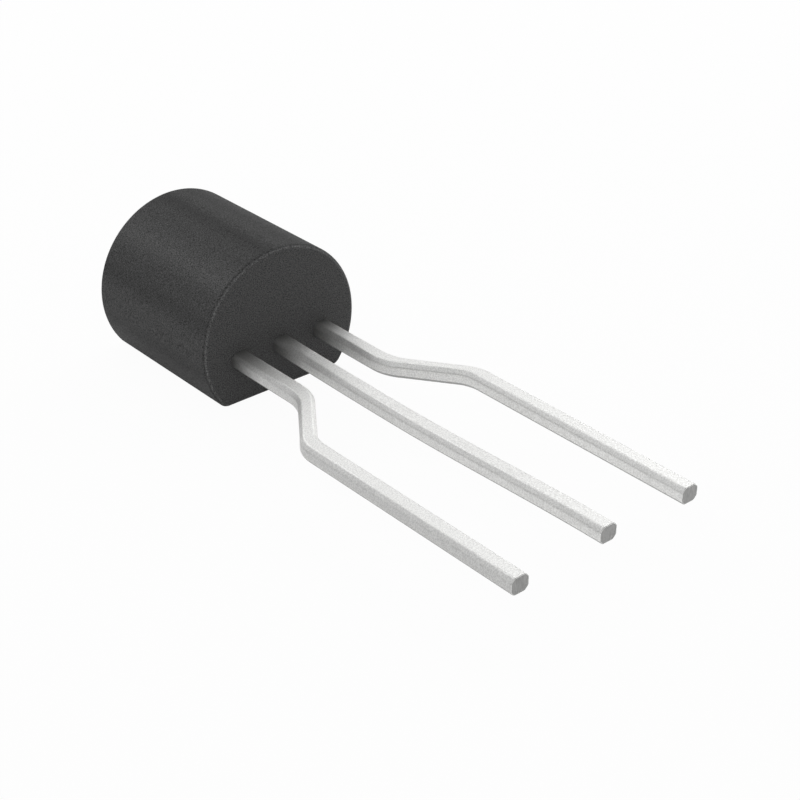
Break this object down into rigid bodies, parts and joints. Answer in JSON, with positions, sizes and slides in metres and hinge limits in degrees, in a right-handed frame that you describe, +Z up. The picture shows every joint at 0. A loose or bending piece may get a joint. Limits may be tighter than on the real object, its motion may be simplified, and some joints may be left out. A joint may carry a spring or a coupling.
{
  "type": "to-92 transistor",
  "caption": "Small black D-shaped moulded transistor case with straight flat side and bright bevelled leads, the outer ones spread to a wider pitch.",
  "frame": {"origin": "middle of the flat on the moulded case, in the plane that the part lies on", "axes": "+Z up out of the flat, +X across the row of leads, -Y along the leads away from the case"},
  "size_m": [0.0056, 0.0159, 0.0038],
  "materials": {
    "case_moulding": "matt black moulding compound with a very fine grain",
    "lead_plating": "matt tin plating, soft broad reflections",
    "silicon": "smooth dark silicon",
    "solder": "dull solder",
    "bond_gold": "drawn gold wire"
  },
  "bodies": {
    "root": {"case": "case_moulding", "left_lead": "lead_plating", "centre_lead": "lead_plating", "right_lead": "lead_plating", "chip": "silicon", "chip_solder": "solder", "left_bond_wire": "bond_gold", "right_bond_wire": "bond_gold"}
  },
  "joints": []
}
